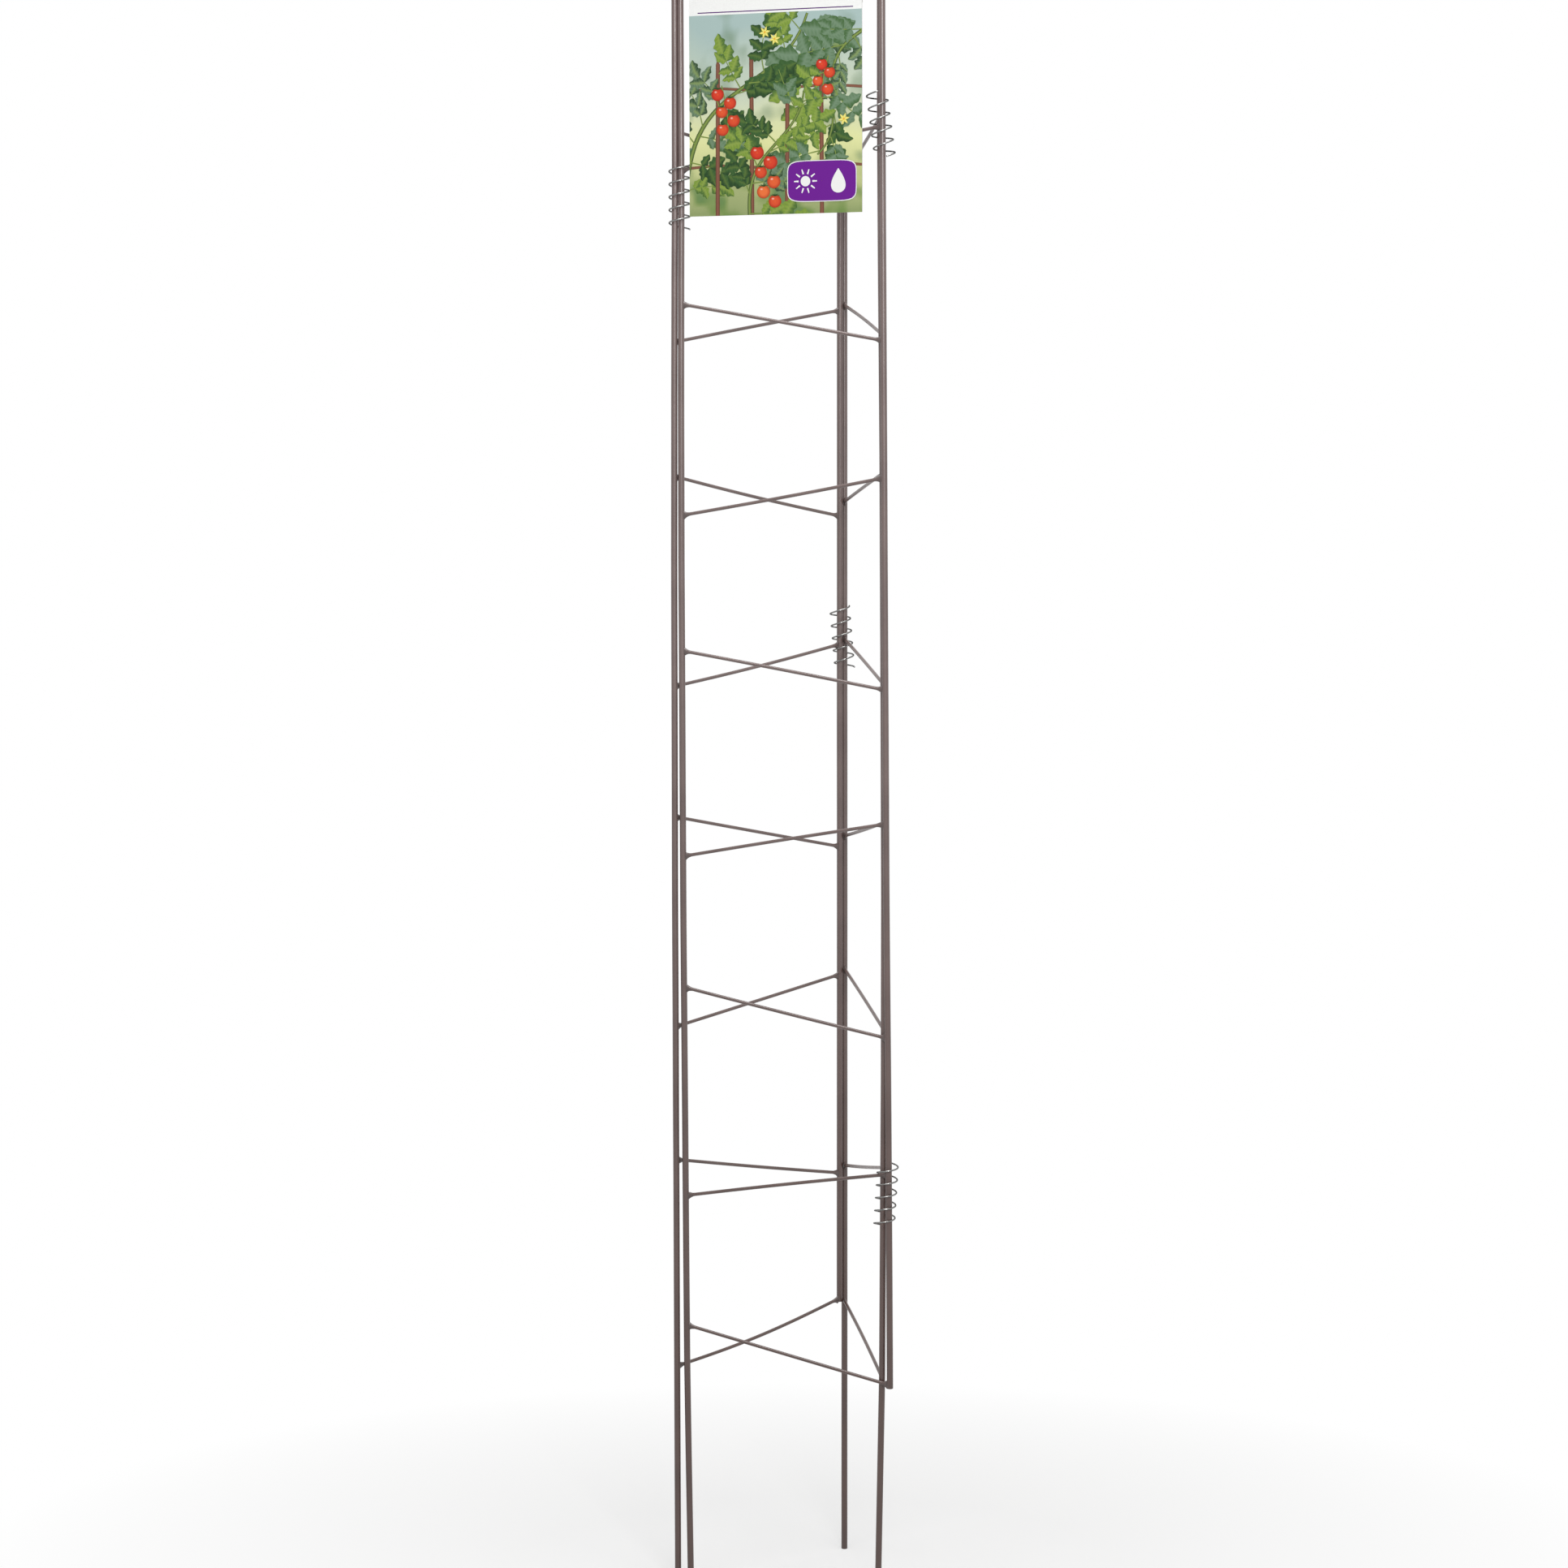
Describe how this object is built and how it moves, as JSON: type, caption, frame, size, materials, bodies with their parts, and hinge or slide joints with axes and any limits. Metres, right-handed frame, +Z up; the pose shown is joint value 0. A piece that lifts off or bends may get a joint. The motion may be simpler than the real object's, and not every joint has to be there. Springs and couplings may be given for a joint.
{
  "type": "tomato tower",
  "caption": "Tall three-sided plant support of ladder panels in coated steel wire, hinged and closed by wire spirals at the corners, with a hang card.",
  "frame": {"origin": "On the ground, under the middle of the tower's bounding box.", "axes": "+Z up along the uprights; the front panel with the hang card faces -Y and runs along X; +X is to the right as seen from the front."},
  "size_m": [0.2116, 0.1866, 1.4228],
  "materials": {
    "coated_steel": "satin taupe-brown powder coat on steel wire, with soft highlights down the bars",
    "spiral_steel": "plain drawn steel wire, bright on its crests and dark between them",
    "card_board": "coated card with a smooth, softly glossy printed face"
  },
  "bodies": {
    "middle_panel": {"middle_front_upright": "coated_steel", "middle_back_upright": "coated_steel", "middle_rung_1": "coated_steel", "middle_rung_2": "coated_steel", "middle_rung_3": "coated_steel", "middle_rung_4": "coated_steel", "middle_rung_5": "coated_steel", "middle_rung_6": "coated_steel", "middle_rung_7": "coated_steel", "middle_rung_8": "coated_steel", "middle_rung_9": "coated_steel", "front_upper_spiral": "spiral_steel", "front_lower_spiral": "spiral_steel", "back_upper_spiral": "spiral_steel", "back_middle_spiral": "spiral_steel"},
    "front_panel": {"front_left_upright": "coated_steel", "front_right_upright": "coated_steel", "front_rung_1": "coated_steel", "front_rung_2": "coated_steel", "front_rung_3": "coated_steel", "front_rung_4": "coated_steel", "front_rung_5": "coated_steel", "front_rung_6": "coated_steel", "front_rung_7": "coated_steel", "front_rung_8": "coated_steel", "front_rung_9": "coated_steel", "closing_spiral": "spiral_steel"},
    "left_panel": {"left_back_upright": "coated_steel", "left_front_upright": "coated_steel", "left_rung_1": "coated_steel", "left_rung_2": "coated_steel", "left_rung_3": "coated_steel", "left_rung_4": "coated_steel", "left_rung_5": "coated_steel", "left_rung_6": "coated_steel", "left_rung_7": "coated_steel", "left_rung_8": "coated_steel", "left_rung_9": "coated_steel"},
    "hang_card": {"hang_card": "card_board"}
  },
  "joints": [
    {"name": "front_fold", "type": "hinge", "parent": "middle_panel", "child": "front_panel", "pos_m": [0.09525, -0.08357, 1.265], "axis": [-0.0035, 0, 1], "range_deg": [0, 120]},
    {"name": "left_fold", "type": "hinge", "parent": "middle_panel", "child": "left_panel", "pos_m": [-0.00562, 0.08036, 1.265], "axis": [0, 0, -1], "range_deg": [0, 120]},
    {"name": "card_swing", "type": "hinge", "parent": "front_panel", "child": "hang_card", "pos_m": [-0.00027, -0.08357, 1.41467], "axis": [-1, 0, -0.0035], "range_deg": [0, 120]}
  ]
}
